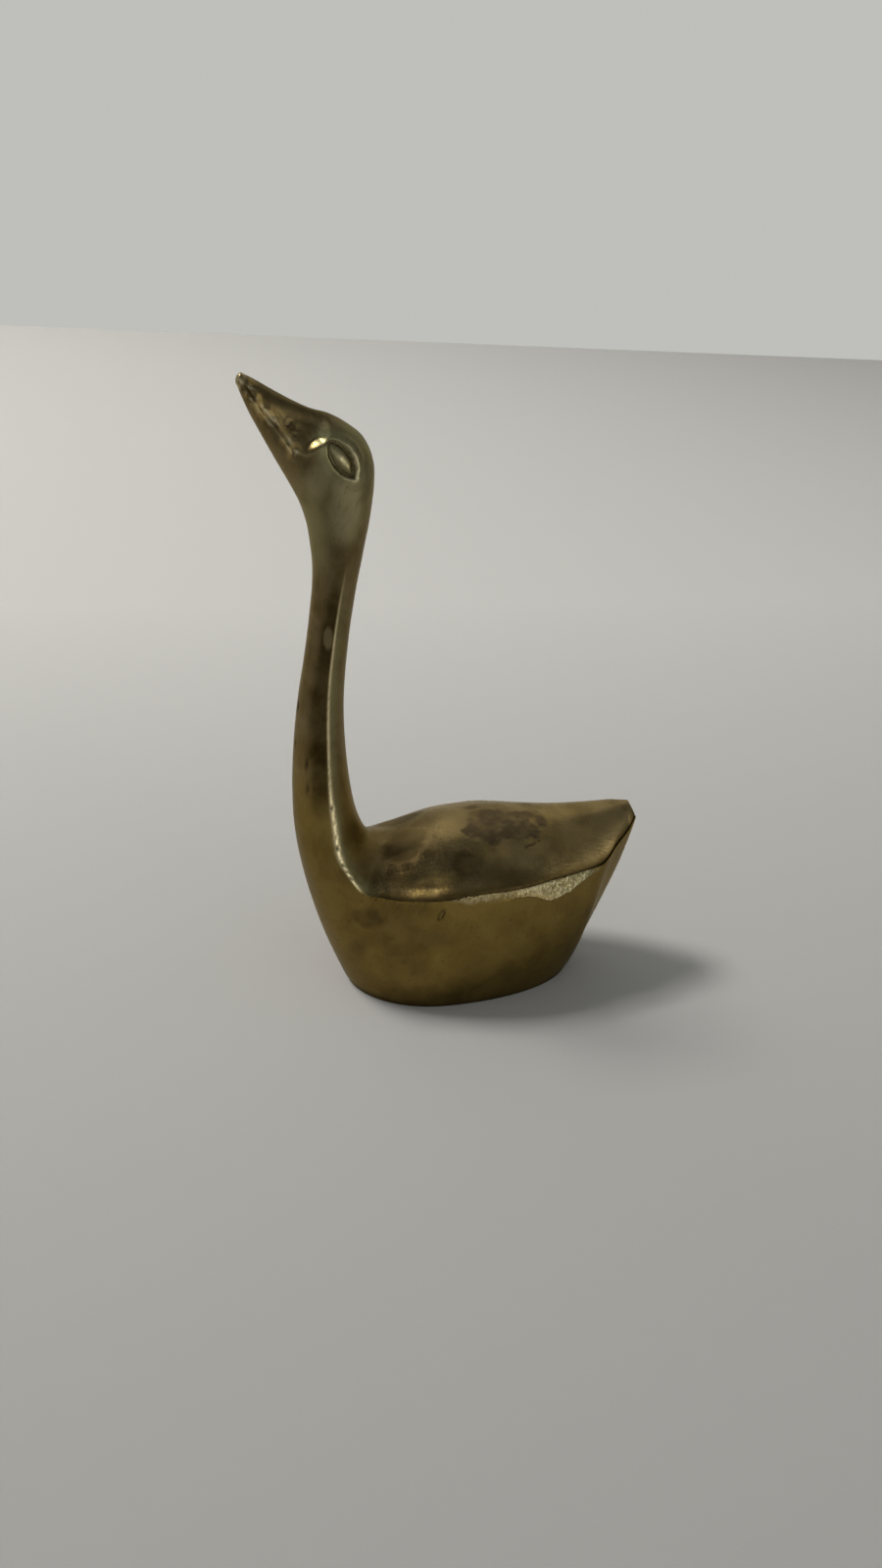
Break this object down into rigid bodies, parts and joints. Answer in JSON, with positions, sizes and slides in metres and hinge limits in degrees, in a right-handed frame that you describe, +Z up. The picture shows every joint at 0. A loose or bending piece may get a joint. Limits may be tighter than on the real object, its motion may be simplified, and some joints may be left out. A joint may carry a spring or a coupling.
{
  "type": "swan figurine",
  "caption": "Cast brass swan ornament with an upright curved neck, raised pointed bill, almond eyes and a boat-shaped body with a domed back, standing on a flat sole.",
  "frame": {"origin": "middle of the flat sole, on the surface that the swan stands on", "axes": "+Z up, -X the way the swan faces, +Y towards the swan's right side"},
  "size_m": [0.083, 0.0352, 0.1251],
  "materials": {
    "hull_brass": "aged satin cast brass with file marks",
    "back_brass": "aged brown satin cast brass with stains",
    "neck_brass": "aged satin cast brass, hand rubbed",
    "eye_brass": "aged brass with a greenish tarnish"
  },
  "bodies": {
    "root": {"hull": "hull_brass", "back": "back_brass", "neck": "neck_brass", "left_eye": "eye_brass", "right_eye": "eye_brass"}
  },
  "joints": []
}
